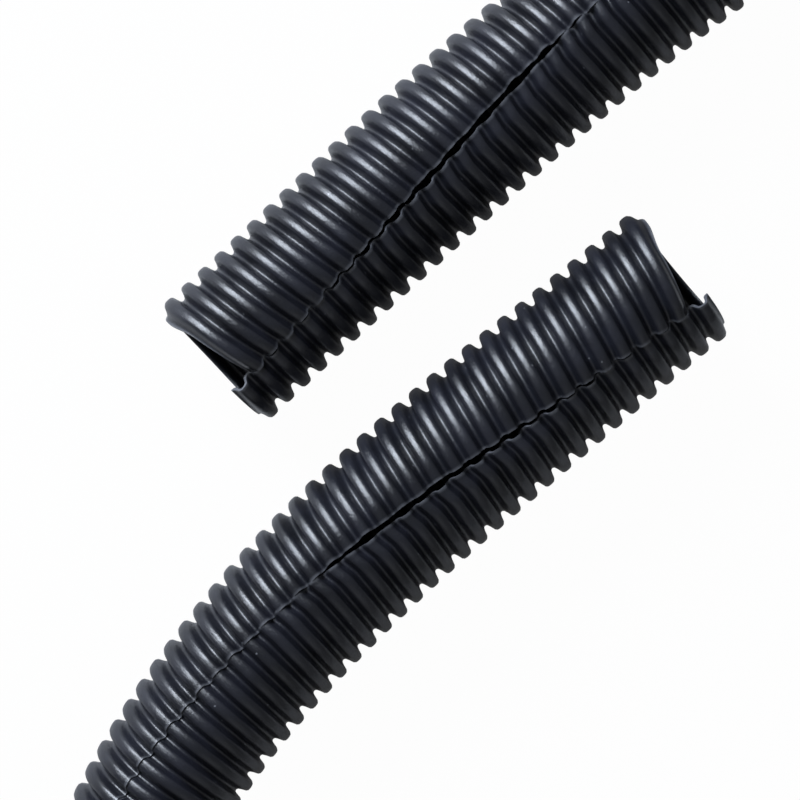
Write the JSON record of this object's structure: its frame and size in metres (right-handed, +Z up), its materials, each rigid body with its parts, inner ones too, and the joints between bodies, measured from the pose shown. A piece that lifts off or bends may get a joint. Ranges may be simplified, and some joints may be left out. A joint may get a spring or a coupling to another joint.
{
  "type": "split corrugated conduit",
  "caption": "Ribbed plastic cable conduit, slit along its whole length, lying as an open loop with its two cut ends side by side.",
  "frame": {"origin": "on the floor, under the middle of the box that the loop fills", "axes": "+Z up out of the floor, +X the way the near end opens, +Y towards the outer end run"},
  "size_m": [0.5148, 0.457, 0.031],
  "materials": {
    "black_plastic": "satin black polypropylene"
  },
  "bodies": {
    "root": {"conduit": "black_plastic"}
  },
  "joints": []
}
